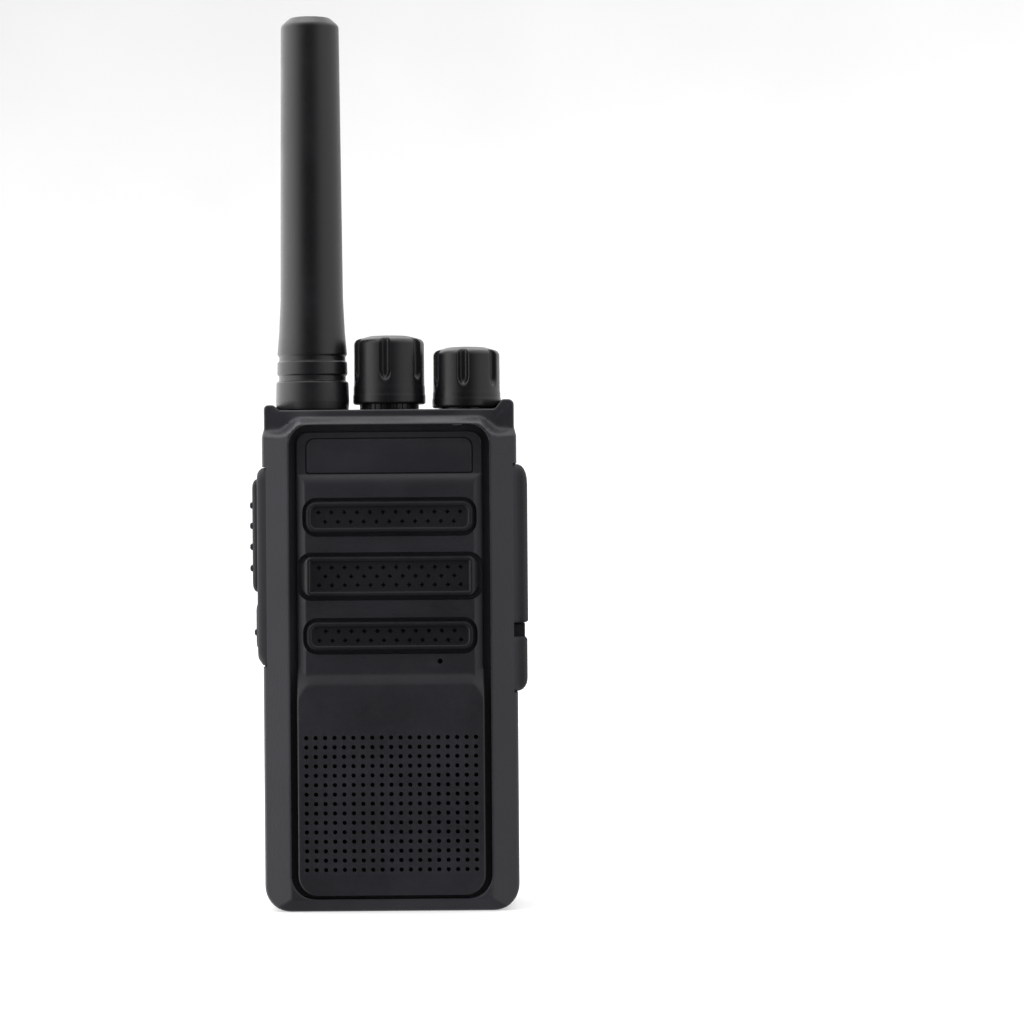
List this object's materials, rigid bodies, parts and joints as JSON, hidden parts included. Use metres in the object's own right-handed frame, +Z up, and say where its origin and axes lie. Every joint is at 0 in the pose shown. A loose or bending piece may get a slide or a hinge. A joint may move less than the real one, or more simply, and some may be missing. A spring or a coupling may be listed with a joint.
{
  "type": "handheld two-way radio",
  "caption": "Hand-held two-way radio with a stub aerial, top knobs, side talk key, speaker grille, rear battery pack and belt clip.",
  "frame": {"origin": "on the foot of the front housing, in the middle of the body's width and 8.5 mm behind the front face of the bezel, on the ground plane", "axes": "+Z up along the body towards the aerial, -Y out of the front with the speaker grille, -X towards the talk key and the aerial side"},
  "size_m": [0.0584, 0.0399, 0.1874],
  "materials": {
    "housing_plastic": "finely textured black ABS",
    "panel_plastic": "black plastic with a fine matt grain",
    "gloss_black": "smooth black plastic",
    "knob_plastic": "semi-gloss black plastic",
    "side_rubber": "matt black rubber",
    "aerial_rubber": "satin black moulded rubber",
    "cast_aluminium": "black anodised die casting",
    "bare_metal": "plated steel",
    "gold_brass": "gold-plated brass",
    "circuit_board": "solder-masked board",
    "felt": "black felt",
    "speaker_paper": "doped paper",
    "cell_wrap": "shrink wrap",
    "light_pipe": "clear acrylic"
  },
  "bodies": {
    "radio": {"front_housing": "housing_plastic", "front_panel": "panel_plastic", "name_plate": "gloss_black", "upper_trim_bar": "panel_plastic", "middle_trim_bar": "panel_plastic", "lower_trim_bar": "panel_plastic", "status_light_pipe": "light_pipe", "speaker_basket": "bare_metal", "speaker_cone": "speaker_paper", "speaker_magnet": "bare_metal", "speaker_felt": "felt", "microphone_boot": "side_rubber", "microphone": "bare_metal", "main_board": "circuit_board", "rf_shield": "bare_metal", "audio_shield": "bare_metal", "chassis": "cast_aluminium", "housing_seal": "side_rubber", "chassis_screw_left": "bare_metal", "chassis_screw_right": "bare_metal", "contact_block": "gloss_black", "radio_contact_left": "gold_brass", "radio_contact_middle": "gold_brass", "radio_contact_right": "gold_brass", "channel_encoder": "bare_metal", "volume_potentiometer": "bare_metal", "channel_collar": "knob_plastic", "aerial_socket": "gold_brass", "side_key_carrier": "side_rubber", "side_key_board": "circuit_board", "talk_switch": "bare_metal", "call_switch": "bare_metal", "cover_anchor": "side_rubber", "cover_screw": "bare_metal", "jack_block": "gloss_black"},
    "aerial": {"aerial_sheath": "aerial_rubber", "aerial_stud": "gold_brass", "aerial_radiator": "bare_metal"},
    "channel_control": {"channel_knob": "knob_plastic", "channel_shaft": "gold_brass"},
    "volume_control": {"volume_knob": "knob_plastic", "volume_shaft": "gold_brass"},
    "talk_key": {"talk_key": "side_rubber"},
    "call_key": {"call_key": "side_rubber"},
    "accessory_cover": {"accessory_cover": "side_rubber"},
    "battery": {"battery_shell": "housing_plastic", "battery_lid": "housing_plastic", "battery_cell_left": "cell_wrap", "battery_cell_right": "cell_wrap", "battery_board": "circuit_board", "clip_bracket": "bare_metal", "clip_screw_left": "bare_metal", "clip_screw_right": "bare_metal", "clip_pin": "bare_metal", "clip_spring": "bare_metal"},
    "battery_latch": {"battery_latch": "gloss_black"},
    "belt_clip": {"belt_clip": "housing_plastic"}
  },
  "joints": [
    {"name": "aerial_unscrew", "type": "hinge", "parent": "radio", "child": "aerial", "pos_m": [-0.0162, 0.004, 0.1054], "axis": [0, 0, 1], "continuous": true},
    {"name": "channel_turn", "type": "hinge", "parent": "radio", "child": "channel_control", "pos_m": [0, 0.004, 0.106], "axis": [0, 0, -1], "range_deg": [0, 337.5]},
    {"name": "volume_turn", "type": "hinge", "parent": "radio", "child": "volume_control", "pos_m": [0.0163, 0.004, 0.106], "axis": [0, 0, -1], "range_deg": [0, 290]},
    {"name": "talk_press", "type": "slide", "parent": "radio", "child": "talk_key", "axis": [1, 0, 0], "range_m": [0, 0.001], "stiffness_N_per_m": 800},
    {"name": "call_press", "type": "slide", "parent": "radio", "child": "call_key", "axis": [1, 0, 0], "range_m": [0, 0.0008], "stiffness_N_per_m": 800},
    {"name": "cover_open", "type": "hinge", "parent": "radio", "child": "accessory_cover", "pos_m": [0.0286, 0.004, 0.059], "axis": [0, 1, 0], "range_deg": [0, 120]},
    {"name": "battery_swing", "type": "hinge", "parent": "radio", "child": "battery", "pos_m": [0, 0.0235, 0.0832], "axis": [1, 0, 0], "range_deg": [0, 20]},
    {"name": "latch_slide", "type": "slide", "parent": "radio", "child": "battery_latch", "axis": [0, -1, 0], "range_m": [0, 0.002]},
    {"name": "clip_open", "type": "hinge", "parent": "battery", "child": "belt_clip", "pos_m": [0, 0.0286, 0.074], "axis": [1, 0, 0], "range_deg": [0, 22], "stiffness_Nm_per_rad": 0.08}
  ]
}
